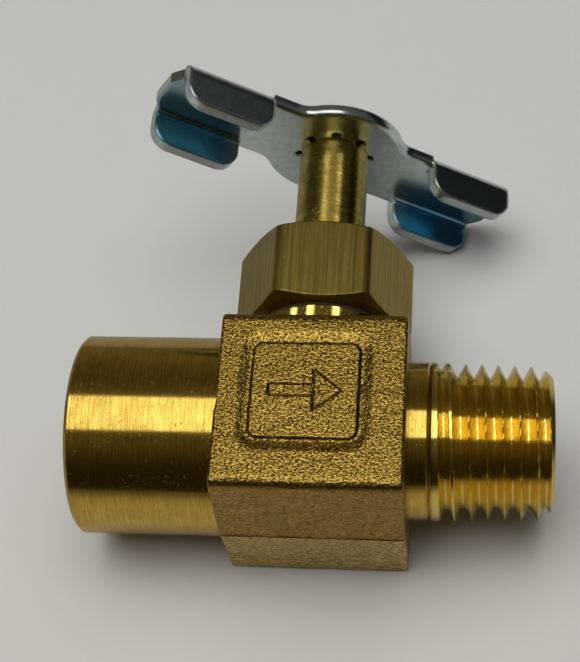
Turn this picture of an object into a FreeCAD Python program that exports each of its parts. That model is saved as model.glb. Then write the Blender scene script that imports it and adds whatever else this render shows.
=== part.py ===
import FreeCAD, Part
import Sketcher
import math
import os
from types import SimpleNamespace

# Forged brass needle valve: female pipe port on -X, male pipe thread on +X, stem and tee handle on +Y.
# Each sub-part is modelled about the crossing of the pipe and stem axes, then lifted by body_half,
# so the row origin lies on the flat back of the forging, directly under that crossing. Millimetres.

os.makedirs("parts", exist_ok=True)
doc = FreeCAD.newDocument("needle_valve")

DRIVING_SIZES = {
    # forged block
    "body_half": 8.85,
    "body_left": 7.9,
    "body_right": 8.15,
    "parting_low": 9.4,
    "parting_high": 9.2,
    "forging_draft": 7.0,
    "forging_round": 1.1,
    "rear_draft": 1.5,
    "rear_round": 0.6,
    # raised emblem pad inside a shallow moat on the front face
    "pad_width": 9.1,
    "pad_height": 8.8,
    "pad_shift_x": -0.35,
    "pad_shift_y": 0.55,
    "pad_corner": 1.2,
    "moat_width": 0.9,
    "moat_depth": 0.25,
    "arrow_length": 6.2,
    "arrow_head": 2.4,
    "arrow_half": 0.55,
    # 1/4-18 NPT pipe thread, radii at the small end of the male thread and at the mouth of the female one
    "thread_pitch": 1.4111,
    "thread_depth": 1.129,
    "taper_angle": 1.7899,
    "male_crest": 6.628,
    "female_crest": 5.679,
    "male_thread_lead": 1.26,
    "female_thread_lead": 0.75,
    "runout_angle": 38.0,
    # female end
    "barrel_radius": 8.8,
    "barrel_end": 20.68,
    "barrel_chamfer": 0.45,
    "mouth_radius": 7.0,
    "tap_depth": 10.9,
    "drill_radius": 5.28,
    "drill_depth": 13.1,
    "drill_point_angle": 31.0,
    # male end
    "male_end": 20.5,
    "shank_end": 10.1,
    "shank_radius": 6.96,
    "male_chamfer": 0.95,
    "male_nose": 5.85,
    "male_bore": 3.6,
    "male_bore_end": 7.0,
    # flow passages and seat
    "passage_radius": 1.7,
    "high_passage_inner": 2.5,
    "high_passage_outer": 9.0,
    "low_passage_outer": 8.5,
    "high_passage_y": 2.5,
    "low_passage_y": -3.1,
    "chamber_radius": 3.9,
    "seat_y": -0.2,
    "seat_radius": 1.5,
    # neck and bonnet
    "neck_radius": 6.3,
    "neck_top": 10.2,
    "socket_radius": 5.5,
    "socket_floor": 4.4,
    "gasket_radius": 6.0,
    "gasket_height": 0.3,
    "hex_across_flats": 14.2875,
    "hex_corner": 1.1,
    "hex_turn": 2.2,
    "hex_bottom": 10.55,
    "hex_top": 18.35,
    "hex_chamfer_angle": 25.0,
    "hex_chamfer_start": 7.0,
    "spigot_radius": 5.45,
    "spigot_end": 4.65,
    # stem, at rest one turn open
    "stem_radius": 3.33,
    "stem_clearance": 0.05,
    "stem_pitch": 1.0583,
    "stem_thread_radius": 3.95,
    "stem_thread_low": 5.2,
    "stem_thread_high": 9.6,
    "thread_run_end": 12.0,
    "needle_radius": 2.0,
    "needle_tip": 0.4,
    "needle_half_angle": 20.0,
    "needle_clearance": 0.06,
    "needle_land": 0.5,
    "needle_shoulder": 1.3,
    "stem_neck": 2.8,
    "groove_low": 13.3,
    "groove_high": 15.8,
    "groove_radius": 2.3,
    "spigot_pin": 3.0,
    "shoulder_length": 0.55,
    "shoulder_drop": 0.2,
    "rivet_radius": 3.8,
    "rivet_height": 0.75,
    "rivet_edge": 0.45,
    "rivet_crown": 2.8,
    # seals
    "seal_gap": 0.02,
    "backup_height": 0.6,
    # tee handle, pressed sheet steel
    "sheet": 1.2,
    "web_under": 30.43,
    "handle_turn": 34.2,
    "hub_radius": 6.8,
    "neck_half": 4.15,
    "wing_half": 4.4,
    "wing_start": 8.9,
    "wing_end": 17.7,
    "wing_bulge": 0.8,
    "flange_rim": 27.2,
    "flange_corner": 1.9,
    "bend_outer": 1.5,
    "bend_inner": 0.5,
    "hub_blend": 2.2,
    "pressed_edge": 0.25,
    "rolled_edge": 0.45,
    "hole_radius": 3.06,
    "notch_radius": 0.46,
    "notch_along": 3.21,
    "notch_across": 1.04,
    "notch_count": 8,
}


class Size:
    """A number together with the expression that gives it from the spreadsheet."""

    def __init__(self, value, text):
        self.value = value
        self.text = text

    def __add__(self, other):
        other = as_size(other)
        return Size(self.value + other.value, "(%s + %s)" % (self.text, other.text))

    def __sub__(self, other):
        other = as_size(other)
        return Size(self.value - other.value, "(%s - %s)" % (self.text, other.text))

    def __mul__(self, other):
        other = as_size(other)
        return Size(self.value * other.value, "(%s * %s)" % (self.text, other.text))

    def __truediv__(self, other):
        other = as_size(other)
        return Size(self.value / other.value, "(%s / %s)" % (self.text, other.text))

    def __neg__(self):
        return Size(-self.value, "(-1 * %s)" % self.text)


def as_size(value):
    return value if isinstance(value, Size) else Size(float(value), repr(float(value)))


def tangent(angle):
    angle = as_size(angle)
    return Size(math.tan(math.radians(angle.value)), "tan(%s)" % angle.text)


def fill_sheet(values):
    sheet = doc.addObject("Spreadsheet::Sheet", "Sizes")
    for row, (alias, value) in enumerate(values.items(), 1):
        sheet.set("A%d" % row, alias)
        sheet.set("B%d" % row, str(value))
        sheet.setAlias("B%d" % row, alias)
    doc.recompute()
    return SimpleNamespace(**{a: Size(float(v), "Sizes." + a) for a, v in values.items()})


d = fill_sheet(DRIVING_SIZES)


# ---- building helpers -------------------------------------------------------------------------------


def new_body(label, turn=None):
    """A PartDesign body standing on the back plane, turned about the stem axis by turn degrees."""
    body = doc.addObject("PartDesign::Body", label)
    body.Label = label
    body.setExpression(".Placement.Base.z", d.body_half.text)
    if turn is not None:
        body.Placement = FreeCAD.Placement(
            FreeCAD.Vector(0, 0, d.body_half.value), FreeCAD.Rotation(FreeCAD.Vector(0, 1, 0), turn.value)
        )
        body.setExpression(".Placement.Rotation.Angle", turn.text)
    return body


def origin_item(body, role):
    return [item for item in body.Origin.OriginFeatures if item.Role == role][0]


def new_sketch(body, name, plane, offset=None):
    """A sketch on one of the body's origin planes, moved along the plane's normal by offset."""
    sketch = body.newObject("Sketcher::SketchObject", name)
    sketch.AttachmentSupport = [(origin_item(body, plane), "")]
    sketch.MapMode = "FlatFace"
    if offset is not None:
        offset = as_size(offset)
        sketch.AttachmentOffset = FreeCAD.Placement(FreeCAD.Vector(0, 0, offset.value), FreeCAD.Rotation())
        sketch.setExpression(".AttachmentOffset.Base.z", offset.text)
    return sketch


def pin_point(sketch, geometry, point, place, tag):
    """Holds a sketch point at (x, y) from the origin, each bound to its expression."""
    for axis, size in zip("XY", place):
        if abs(size.value) < 1e-9:
            line = -2 if axis == "X" else -1
            sketch.addConstraint(Sketcher.Constraint("PointOnObject", geometry, point, line))
            continue
        index = sketch.addConstraint(Sketcher.Constraint("Distance" + axis, -1, 1, geometry, point, size.value))
        sketch.renameConstraint(index, "%s_%s" % (tag, axis.lower()))
        sketch.setExpression("Constraints.%s_%s" % (tag, axis.lower()), size.text)


def add_polygon(sketch, places):
    """A closed outline through the given places, every corner pinned."""
    places = [(as_size(x), as_size(y)) for x, y in places]
    first = sketch.GeometryCount
    total = len(places)
    for i, (start, end) in enumerate(zip(places, places[1:] + places[:1])):
        a = FreeCAD.Vector(start[0].value, start[1].value, 0)
        b = FreeCAD.Vector(end[0].value, end[1].value, 0)
        sketch.addGeometry(Part.LineSegment(a, b), False)
    for i in range(total):
        following = first + (i + 1) % total
        sketch.addConstraint(Sketcher.Constraint("Coincident", first + i, 2, following, 1))
    for i, place in enumerate(places):
        pin_point(sketch, first + i, 1, place, "p%d" % (first + i))


def add_circle(sketch, centre, radius):
    centre = tuple(as_size(value) for value in centre)
    radius = as_size(radius)
    middle = FreeCAD.Vector(centre[0].value, centre[1].value, 0)
    index = sketch.addGeometry(Part.Circle(middle, FreeCAD.Vector(0, 0, 1), radius.value), False)
    if abs(centre[0].value) < 1e-9 and abs(centre[1].value) < 1e-9:
        sketch.addConstraint(Sketcher.Constraint("Coincident", index, 3, -1, 1))
    else:
        pin_point(sketch, index, 3, centre, "c%d" % index)
    held = sketch.addConstraint(Sketcher.Constraint("Radius", index, radius.value))
    sketch.renameConstraint(held, "r%d" % index)
    sketch.setExpression("Constraints.r%d" % index, radius.text)


def finish_feature(body, feature, adds):
    """Recomputes, checks that the feature really added or removed material, and hides nothing."""
    before = feature.BaseFeature.Shape.Volume if feature.BaseFeature else 0.0
    doc.recompute()
    change = feature.Shape.Volume - before
    if (change > 0) != adds or abs(change) < 1e-6:
        raise RuntimeError("%s changed nothing, or the wrong way: %.4f" % (feature.Label, change))
    return feature


def pad(body, name, sketch, length, reverse=False):
    feature = body.newObject("PartDesign::Pad", name)
    feature.Profile = sketch
    feature.Length = as_size(length).value
    feature.setExpression("Length", as_size(length).text)
    feature.Reversed = reverse
    return finish_feature(body, feature, True)


def pocket(body, name, sketch, length, reverse=False):
    feature = body.newObject("PartDesign::Pocket", name)
    feature.Profile = sketch
    feature.Length = as_size(length).value
    feature.setExpression("Length", as_size(length).text)
    feature.Reversed = reverse
    return finish_feature(body, feature, False)


def revolve(body, name, sketch, axis, adds=True):
    feature = body.newObject("PartDesign::Revolution" if adds else "PartDesign::Groove", name)
    feature.Profile = sketch
    feature.ReferenceAxis = (origin_item(body, axis), [""])
    feature.Angle = 360.0
    return finish_feature(body, feature, adds)


def turned(body, name, axis, places, adds=True):
    """A turned shape: its half profile in the XY plane, revolved about the X or Y axis."""
    sketch = new_sketch(body, name + "_profile", "XY_Plane")
    add_polygon(sketch, places)
    return revolve(body, name, sketch, axis, adds)


def pick_edges(shape, test):
    return ["Edge%d" % i for i, edge in enumerate(shape.Edges, 1) if test(edge)]


def round_edges(body, name, feature, test, radius):
    fillet = body.newObject("PartDesign::Fillet", name)
    fillet.Base = (feature, pick_edges(feature.Shape, test))
    fillet.Radius = as_size(radius).value
    fillet.setExpression("Radius", as_size(radius).text)
    doc.recompute()
    if "Invalid" in fillet.State or not fillet.Base[1]:
        raise RuntimeError("%s rounded nothing" % name)
    return fillet


def runs_along(edge, axis):
    """True for a straight edge parallel to axis (0, 1 or 2 for X, Y or Z)."""
    if not isinstance(edge.Curve, Part.Line):
        return False
    return abs(edge.Curve.Direction[axis]) > 0.9999


def cut_thread(body, name, places, height, taper):
    """A tapered right-hand thread groove; places is the cutter's outline, in the half plane y = 0."""
    sketch = new_sketch(body, name + "_cutter", "XZ_Plane")
    add_polygon(sketch, places)
    helix = body.newObject("PartDesign::SubtractiveHelix", name)
    helix.Profile = sketch
    helix.ReferenceAxis = (origin_item(body, "X_Axis"), [""])
    helix.Mode = "pitch-height-angle"
    helix.Pitch = d.thread_pitch.value
    helix.setExpression("Pitch", d.thread_pitch.text)
    helix.Height = as_size(height).value
    helix.setExpression("Height", as_size(height).text)
    helix.Angle = as_size(taper).value
    helix.setExpression("Angle", as_size(taper).text)
    helix.LeftHanded = False
    return helix


# ---- valve body -------------------------------------------------------------------------------------


def add_forged_block(body):
    lean = d.body_half * tangent(d.forging_draft)
    rear_lean = d.body_half * tangent(d.rear_draft)
    sketch = new_sketch(body, "block_section", "YZ_Plane", -d.body_left)
    add_polygon(
        sketch,
        [
            (-(d.parting_low - rear_lean), -d.body_half),
            (d.parting_high - rear_lean, -d.body_half),
            (d.parting_high, 0),
            (d.parting_high - lean, d.body_half),
            (-(d.parting_low - lean), d.body_half),
            (-d.parting_low, 0),
        ],
    )
    block = pad(body, "block", sketch, d.body_left + d.body_right)
    half = d.body_half.value

    def front_corner(edge):
        return runs_along(edge, 0) and abs(edge.BoundBox.Center.z - half) < 0.01

    def rear_corner(edge):
        return runs_along(edge, 0) and abs(edge.BoundBox.Center.z + half) < 0.01

    rounded = round_edges(body, "front_rounds", block, front_corner, d.forging_round)
    return round_edges(body, "rear_rounds", rounded, rear_corner, d.rear_round)


def add_ends_and_neck(body):
    neck = new_sketch(body, "neck_section", "XZ_Plane")
    add_circle(neck, (0, 0), d.neck_radius)
    pad(body, "neck", neck, d.neck_top, reverse=True)
    turned(
        body,
        "barrel",
        "X_Axis",
        [
            (0, 0),
            (0, d.barrel_radius),
            (-(d.barrel_end - d.barrel_chamfer), d.barrel_radius),
            (-d.barrel_end, d.barrel_radius - d.barrel_chamfer),
            (-d.barrel_end, 0),
        ],
    )
    slope = tangent(d.taper_angle)
    step = 0.3
    chamfer_start = d.male_end - d.male_chamfer
    turned(
        body,
        "male_blank",
        "X_Axis",
        [
            (0, 0),
            (0, d.shank_radius),
            (d.shank_end, d.shank_radius),
            (d.shank_end + step, d.male_crest + (d.male_end - d.shank_end - step) * slope),
            (chamfer_start, d.male_crest + d.male_chamfer * slope),
            (d.male_end, d.male_nose),
            (d.male_end, 0),
        ],
    )


def cut_ports(body):
    slope = tangent(d.taper_angle)
    beyond = 1.0
    mouth_drop = d.mouth_radius - d.female_crest
    tap_radius = d.female_crest - d.tap_depth * slope
    point = d.drill_radius * tangent(d.drill_point_angle)
    turned(
        body,
        "female_bore",
        "X_Axis",
        [
            (-(d.barrel_end + beyond), 0),
            (-(d.barrel_end + beyond), d.mouth_radius),
            (-d.barrel_end, d.mouth_radius),
            (-(d.barrel_end - mouth_drop), d.female_crest - mouth_drop * slope),
            (-(d.barrel_end - d.tap_depth), tap_radius),
            (-(d.barrel_end - d.tap_depth), d.drill_radius),
            (-(d.barrel_end - d.drill_depth), d.drill_radius),
            (-(d.barrel_end - d.drill_depth - point), 0),
        ],
        adds=False,
    )
    bore_point = d.male_bore * tangent(d.drill_point_angle)
    bore_mouth = 0.5
    turned(
        body,
        "male_bore",
        "X_Axis",
        [
            (d.male_end + beyond, 0),
            (d.male_end + beyond, d.male_bore + bore_mouth),
            (d.male_end, d.male_bore + bore_mouth),
            (d.male_end - bore_mouth, d.male_bore),
            (d.male_bore_end, d.male_bore),
            (d.male_bore_end - bore_point, 0),
        ],
        adds=False,
    )


def cut_flow_path(body):
    """Socket for the bonnet, needle chamber, seat, and the two drilled passages that meet it."""
    beyond = 1.0
    lead = 0.5
    turned(
        body,
        "chamber",
        "Y_Axis",
        [
            (0, d.neck_top + beyond),
            (d.socket_radius + lead, d.neck_top + beyond),
            (d.socket_radius + lead, d.neck_top),
            (d.socket_radius, d.neck_top - lead),
            (d.socket_radius, d.socket_floor),
            (d.chamber_radius, d.socket_floor),
            (d.chamber_radius, d.seat_y),
            (d.seat_radius, d.seat_y),
            (d.seat_radius, d.low_passage_y),
            (0, d.low_passage_y),
        ],
        adds=False,
    )
    high = new_sketch(body, "high_passage_section", "YZ_Plane", -d.high_passage_inner)
    add_circle(high, (d.high_passage_y, 0), d.passage_radius)
    pocket(body, "high_passage", high, d.high_passage_outer - d.high_passage_inner)
    low = new_sketch(body, "low_passage_section", "YZ_Plane")
    add_circle(low, (d.low_passage_y, 0), d.passage_radius)
    pocket(body, "low_passage", low, d.low_passage_outer, reverse=True)


def rectangle(width, height, shift_x, shift_y):
    return [
        (shift_x - width / 2, shift_y - height / 2),
        (shift_x + width / 2, shift_y - height / 2),
        (shift_x + width / 2, shift_y + height / 2),
        (shift_x - width / 2, shift_y + height / 2),
    ]


def cut_emblem(body):
    """A plain rounded pad left standing in a shallow moat, with a flow arrow sunk into it."""
    moat = new_sketch(body, "moat_outline", "XY_Plane", d.body_half)
    wide = d.pad_width + d.moat_width * 2
    tall = d.pad_height + d.moat_width * 2
    add_polygon(moat, rectangle(wide, tall, d.pad_shift_x, d.pad_shift_y))
    add_polygon(moat, rectangle(d.pad_width, d.pad_height, d.pad_shift_x, d.pad_shift_y))
    ring = pocket(body, "moat", moat, d.moat_depth)
    half = d.body_half.value

    def upright_corner(edge):
        low, high = edge.BoundBox.ZMin, edge.BoundBox.ZMax
        return runs_along(edge, 2) and high > half - 0.01 and low > half - d.moat_depth.value - 0.01

    round_edges(body, "moat_corners", ring, upright_corner, d.pad_corner)
    arrow = new_sketch(body, "arrow_outline", "XY_Plane", d.body_half)
    left = d.pad_shift_x - d.arrow_length / 2
    neck = d.pad_shift_x + d.arrow_length / 2 - d.arrow_head
    tip = d.pad_shift_x + d.arrow_length / 2
    middle = d.pad_shift_y
    barb = d.arrow_head * 0.8
    add_polygon(
        arrow,
        [
            (left, middle - d.arrow_half),
            (neck, middle - d.arrow_half),
            (neck, middle - barb),
            (tip, middle),
            (neck, middle + barb),
            (neck, middle + d.arrow_half),
            (left, middle + d.arrow_half),
        ],
    )
    pocket(body, "arrow", arrow, d.moat_depth)


def groove_outline(middle, crest, depth, side):
    """A 60 degree thread groove at x = middle: its floor is depth past the crest line, on one side of the axis."""
    half_flat = 0.019
    past_crest = 0.4
    root_flat = d.thread_pitch * half_flat
    crest_flat = d.thread_pitch * (0.5 - half_flat)
    beyond = past_crest if depth.value > 0 else -past_crest
    places = [
        (middle - root_flat, crest - depth),
        (middle + root_flat, crest - depth),
        (middle + crest_flat, crest),
        (middle + crest_flat, crest + beyond),
        (middle - crest_flat, crest + beyond),
        (middle - crest_flat, crest),
    ]
    return [(x, radius * side) for x, radius in places]


def cut_pipe_threads(body):
    """Both 1/4-18 NPT threads, following the 1 in 16 taper; the male one runs out over its last turn."""
    slope = tangent(d.taper_angle)
    turns = 7
    start = d.male_end + d.male_thread_lead
    crest = d.male_crest - d.male_thread_lead * slope
    outline = groove_outline(start, crest, d.thread_depth, -1)
    male = cut_thread(body, "male_thread", outline, d.thread_pitch * turns, d.taper_angle)
    male.Reversed = True
    finish_feature(body, male, False)
    last = start - d.thread_pitch * turns
    crest = crest + d.thread_pitch * turns * slope
    outline = groove_outline(last, crest, d.thread_depth, -1)
    runout = cut_thread(body, "male_runout", outline, d.thread_pitch, d.runout_angle)
    runout.Reversed = True
    finish_feature(body, runout, False)
    start = d.barrel_end + d.female_thread_lead
    crest = d.female_crest + d.female_thread_lead * slope
    outline = groove_outline(-start, crest, -d.thread_depth, 1)
    female = cut_thread(body, "female_thread", outline, d.thread_pitch * turns, -d.taper_angle)
    finish_feature(body, female, False)


def make_valve_body():
    body = new_body("valve_body")
    add_forged_block(body)
    add_ends_and_neck(body)
    cut_ports(body)
    cut_flow_path(body)
    cut_emblem(body)
    cut_pipe_threads(body)
    return body


# ---- bonnet and its gasket --------------------------------------------------------------------------


def make_bonnet():
    body = new_body("bonnet", d.hex_turn)
    outline = new_sketch(body, "hex_section", "XZ_Plane", -d.hex_bottom)
    reach = d.hex_across_flats / math.sqrt(3)
    corners = []
    for i in range(6):
        angle = math.radians(60 * i)
        corners.append((reach * math.cos(angle), reach * math.sin(angle)))
    add_polygon(outline, corners)
    prism = pad(body, "hexagon", outline, d.hex_top - d.hex_bottom, reverse=True)
    round_edges(body, "hex_corners", prism, lambda edge: runs_along(edge, 1), d.hex_corner)
    outside = 2.0
    rise = tangent(d.hex_chamfer_angle) * outside
    for name, level, way in (("top_chamfer", d.hex_top, -1), ("bottom_chamfer", d.hex_bottom, 1)):
        turned(
            body,
            name,
            "Y_Axis",
            [
                (d.hex_chamfer_start, level),
                (d.hex_chamfer_start + outside, level + rise * way),
                (d.hex_chamfer_start + outside, level),
            ],
            adds=False,
        )
    spigot = new_sketch(body, "spigot_section", "XZ_Plane", -d.spigot_end)
    add_circle(spigot, (0, 0), d.spigot_radius)
    into_hexagon = 1.0
    pad(body, "spigot", spigot, d.hex_bottom - d.spigot_end + into_hexagon, reverse=True)
    beyond = 1.0
    lead = 0.35
    guide = d.stem_radius + d.stem_clearance
    run = d.stem_thread_radius + d.stem_clearance
    turned(
        body,
        "stem_way",
        "Y_Axis",
        [
            (0, d.hex_top + beyond),
            (guide + lead, d.hex_top + beyond),
            (guide + lead, d.hex_top),
            (guide, d.hex_top - lead),
            (guide, d.thread_run_end),
            (run, d.thread_run_end),
            (run, d.spigot_end - beyond),
            (0, d.spigot_end - beyond),
        ],
        adds=False,
    )
    return body


def make_ring(label, inner, outer, low, height):
    """A flat ring about the stem axis."""
    body = new_body(label)
    section = new_sketch(body, label + "_section", "XZ_Plane", -as_size(low))
    add_circle(section, (0, 0), outer)
    add_circle(section, (0, 0), inner)
    pad(body, label + "_disc", section, height, reverse=True)
    return body


def make_gasket():
    gap = d.hex_bottom - d.neck_top - d.gasket_height
    return make_ring("bonnet_gasket", d.socket_radius, d.gasket_radius, d.neck_top + gap / 2, d.gasket_height)


# ---- stem and seals ---------------------------------------------------------------------------------


def make_stem():
    body = new_body("stem")
    slant = tangent(d.needle_half_angle)
    opened = d.stem_pitch
    seat_contact = d.seat_radius - d.needle_clearance
    cone_top = d.seat_y + opened + (d.needle_radius - seat_contact) / slant
    cone_tip = d.seat_y + opened - (seat_contact - d.needle_tip) / slant
    break_edge = 0.3
    relief = 0.6
    rivet_under = d.web_under + d.sheet
    turned(
        body,
        "shaft",
        "Y_Axis",
        [
            (0, cone_tip),
            (d.needle_tip, cone_tip),
            (d.needle_radius, cone_top),
            (d.needle_radius, cone_top + d.needle_land),
            (d.stem_neck, cone_top + d.needle_shoulder),
            (d.stem_neck, d.stem_thread_low),
            (d.stem_thread_radius - break_edge, d.stem_thread_low),
            (d.stem_thread_radius, d.stem_thread_low + break_edge),
            (d.stem_thread_radius, d.stem_thread_high - break_edge),
            (d.stem_thread_radius - break_edge, d.stem_thread_high),
            (d.stem_neck, d.stem_thread_high),
            (d.stem_neck, d.stem_thread_high + relief),
            (d.stem_radius, d.stem_thread_high + relief),
            (d.stem_radius, d.groove_low),
            (d.groove_radius, d.groove_low),
            (d.groove_radius, d.groove_high),
            (d.stem_radius, d.groove_high),
            (d.stem_radius, d.web_under - d.shoulder_length),
            (d.stem_radius - d.shoulder_drop, d.web_under),
            (d.spigot_pin, d.web_under),
            (d.spigot_pin, rivet_under),
            (d.rivet_radius, rivet_under),
            (d.rivet_radius - break_edge, rivet_under + d.rivet_edge),
            (d.rivet_crown, rivet_under + d.rivet_height),
            (0, rivet_under + d.rivet_height),
        ],
    )
    return body


def make_seals():
    """O-ring between two backup rings in the stem's groove."""
    inner = d.groove_radius + d.seal_gap
    outer = d.stem_radius + d.stem_clearance - d.seal_gap
    low = d.groove_low + d.seal_gap
    high = d.groove_high - d.seal_gap - d.backup_height
    lower = make_ring("lower_backup_ring", inner, outer, low, d.backup_height)
    upper = make_ring("upper_backup_ring", inner, outer, high, d.backup_height)
    o_ring = doc.addObject("Part::Torus", "stem_o_ring")
    o_ring.Label = "stem_o_ring"
    middle = (d.groove_low + d.groove_high) / 2
    o_ring.Placement = FreeCAD.Placement(
        FreeCAD.Vector(0, middle.value, d.body_half.value), FreeCAD.Rotation(FreeCAD.Vector(1, 0, 0), 90)
    )
    o_ring.setExpression(".Placement.Base.y", middle.text)
    o_ring.setExpression(".Placement.Base.z", d.body_half.text)
    o_ring.setExpression("Radius1", ((inner + outer) / 2).text)
    o_ring.setExpression("Radius2", ((outer - inner) / 2).text)
    doc.recompute()
    return [lower, upper, o_ring]


# ---- tee handle -------------------------------------------------------------------------------------


def add_channel(body):
    """The folded section of the wings, run from tip to tip: a web with both edges turned down."""
    top = d.web_under + d.sheet
    inside = d.wing_half - d.sheet
    section = new_sketch(body, "channel_section", "YZ_Plane", -d.wing_end)
    add_polygon(
        section,
        [
            (top, -d.wing_half),
            (d.flange_rim, -d.wing_half),
            (d.flange_rim, -inside),
            (d.web_under, -inside),
            (d.web_under, inside),
            (d.flange_rim, inside),
            (d.flange_rim, d.wing_half),
            (top, d.wing_half),
        ],
    )
    channel = pad(body, "channel", section, d.wing_end * 2)

    def at(edge, height, distance):
        centre = edge.BoundBox.Center
        return abs(centre.y - height.value) < 0.01 and abs(abs(centre.z) - distance.value) < 0.01

    def outer_bend(edge):
        return runs_along(edge, 0) and at(edge, top, d.wing_half)

    def inner_bend(edge):
        return runs_along(edge, 0) and at(edge, d.web_under, inside)

    bent = round_edges(body, "outer_bends", channel, outer_bend, d.bend_outer)
    round_edges(body, "inner_bends", bent, inner_bend, d.bend_inner)


def cut_waist(body):
    """Takes the turned-down edges away between the wings, then rounds the flanges' free corners."""
    beyond = 0.5
    inner = d.wing_half - d.sheet - d.bend_inner
    outer = d.wing_half + beyond
    below = d.flange_rim - beyond
    waist = new_sketch(body, "waist_outline", "XZ_Plane", -below)
    for side in (-1, 1):
        middle = (inner + outer) / 2 * side
        add_polygon(waist, rectangle(d.wing_start * 2, outer - inner, as_size(0), middle))
    cut = pocket(body, "waist", waist, d.web_under + d.sheet + beyond - below)

    def rim_corner(edge):
        return runs_along(edge, 2) and abs(edge.BoundBox.Center.y - d.flange_rim.value) < 0.01

    round_edges(body, "rim_corners", cut, rim_corner, d.flange_corner)


def add_web_plate(body, name, outline):
    """A plate in the web's thickness; outline is a list of corners, or a radius for a disc."""
    sketch = new_sketch(body, name + "_outline", "XZ_Plane", -d.web_under)
    if isinstance(outline, Size):
        add_circle(sketch, (0, 0), outline)
    else:
        add_polygon(sketch, outline)
    return pad(body, name, sketch, d.sheet, reverse=True)


def add_web(body):
    """The hub disc, the straps that join it to the wings, and the bowed tips."""
    add_web_plate(body, "neck_strap", rectangle(d.wing_start * 2, d.neck_half * 2, as_size(0), as_size(0)))
    add_web_plate(body, "hub", d.hub_radius)
    flat = d.wing_half - d.bend_outer
    overlap = 1.0
    bow_flat = 0.55
    for side, name in ((-1, "left_tip"), (1, "right_tip")):
        root = (d.wing_end - overlap) * side
        end = d.wing_end * side
        bow = (d.wing_end + d.wing_bulge) * side
        outline = [
            (root, -flat),
            (end, -flat),
            (bow, -flat * bow_flat),
            (bow, flat * bow_flat),
            (end, flat),
            (root, flat),
        ]
        add_web_plate(body, name, outline)


def soften_handle(body):
    """Blends the straps into the hub, then rounds the pressed sheet's rims, the lower one more."""
    bottom = d.web_under.value
    top = (d.web_under + d.sheet).value
    reach = math.sqrt(d.hub_radius.value**2 - d.neck_half.value**2)

    def beside_hub(edge):
        centre = edge.BoundBox.Center
        at_strap = abs(abs(centre.z) - d.neck_half.value) < 0.05 and abs(abs(centre.x) - reach) < 0.05
        return runs_along(edge, 1) and at_strap

    blended = round_edges(body, "hub_blends", body.Tip, beside_hub, d.hub_blend)

    def upper_rim(edge):
        box = edge.BoundBox
        return box.YMin > top - 0.01 and not runs_along(edge, 0)

    pressed = round_edges(body, "pressed_edges", blended, upper_rim, d.pressed_edge)

    def lower_rim(edge):
        box = edge.BoundBox
        between_wings = max(abs(box.XMin), abs(box.XMax)) < d.wing_start.value
        return abs(box.YMin - bottom) < 0.01 and abs(box.YMax - bottom) < 0.01 and between_wings and (
            not runs_along(edge, 0)
        )

    round_edges(body, "rolled_edges", pressed, lower_rim, d.rolled_edge)


def cut_stem_hole(body):
    """A round hole broached with small notches, so the riveted stem can't slip in it."""
    beyond = 0.5
    below = d.web_under - beyond
    hole = new_sketch(body, "hole_outline", "XZ_Plane", -below)
    add_circle(hole, (0, 0), d.hole_radius)
    pocket(body, "stem_hole", hole, d.sheet + beyond * 2)
    notch = new_sketch(body, "notch_outline", "XZ_Plane", -below)
    add_circle(notch, (d.notch_along, -d.notch_across), d.notch_radius)
    first = pocket(body, "notch", notch, d.sheet + beyond * 2)
    pattern = body.newObject("PartDesign::PolarPattern", "notches")
    pattern.Originals = [first]
    pattern.Axis = (origin_item(body, "Y_Axis"), [""])
    pattern.Angle = 360.0
    pattern.Occurrences = int(d.notch_count.value)
    pattern.setExpression("Occurrences", d.notch_count.text)
    body.Tip = pattern
    doc.recompute()


def make_handle():
    body = new_body("tee_handle", d.handle_turn)
    add_channel(body)
    cut_waist(body)
    add_web(body)
    soften_handle(body)
    cut_stem_hole(body)
    return body


# ---- assembly, checks and export --------------------------------------------------------------------


def check_and_export(pieces):
    for item in doc.Objects:
        if "Invalid" in item.State or "Error" in item.State:
            raise RuntimeError("%s is not valid: %s" % (item.Name, item.State))
    for piece in pieces:
        shape = piece.Shape
        if shape.isNull() or not shape.isValid() or len(shape.Solids) != 1:
            raise RuntimeError("%s has a bad shape" % piece.Label)
        shape.exportStep("parts/%s.step" % piece.Label)
        box = shape.BoundBox
        print("%-20s %9.2f mm3  x %.2f..%.2f  y %.2f..%.2f  z %.2f..%.2f" % (
            piece.Label, shape.Volume, box.XMin, box.XMax, box.YMin, box.YMax, box.ZMin, box.ZMax))


pieces = [make_valve_body(), make_bonnet(), make_gasket(), make_stem()]
pieces += make_seals()
pieces.append(make_handle())
doc.recompute()
check_and_export(pieces)
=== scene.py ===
"""Looks for the brass needle valve: pieces for the forged body, materials, table, lights and camera."""

import math

import bpy
import numpy as np
from mathutils import Matrix, Vector


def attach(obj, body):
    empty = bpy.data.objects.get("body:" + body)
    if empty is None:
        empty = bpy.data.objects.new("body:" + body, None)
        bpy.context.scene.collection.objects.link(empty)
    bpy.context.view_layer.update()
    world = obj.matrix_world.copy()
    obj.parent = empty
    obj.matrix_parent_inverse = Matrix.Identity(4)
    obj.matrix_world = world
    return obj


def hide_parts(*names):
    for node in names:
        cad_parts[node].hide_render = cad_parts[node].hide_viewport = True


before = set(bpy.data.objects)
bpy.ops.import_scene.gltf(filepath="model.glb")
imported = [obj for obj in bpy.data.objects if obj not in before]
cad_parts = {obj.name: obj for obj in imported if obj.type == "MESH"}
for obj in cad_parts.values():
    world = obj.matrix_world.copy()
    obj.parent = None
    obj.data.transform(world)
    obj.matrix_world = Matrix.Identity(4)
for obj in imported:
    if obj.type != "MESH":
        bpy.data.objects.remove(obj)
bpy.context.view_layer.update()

MM = 0.001

# ---- driving dimensions, in millimetres from the crossing of the pipe and stem axes ---------------------

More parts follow.
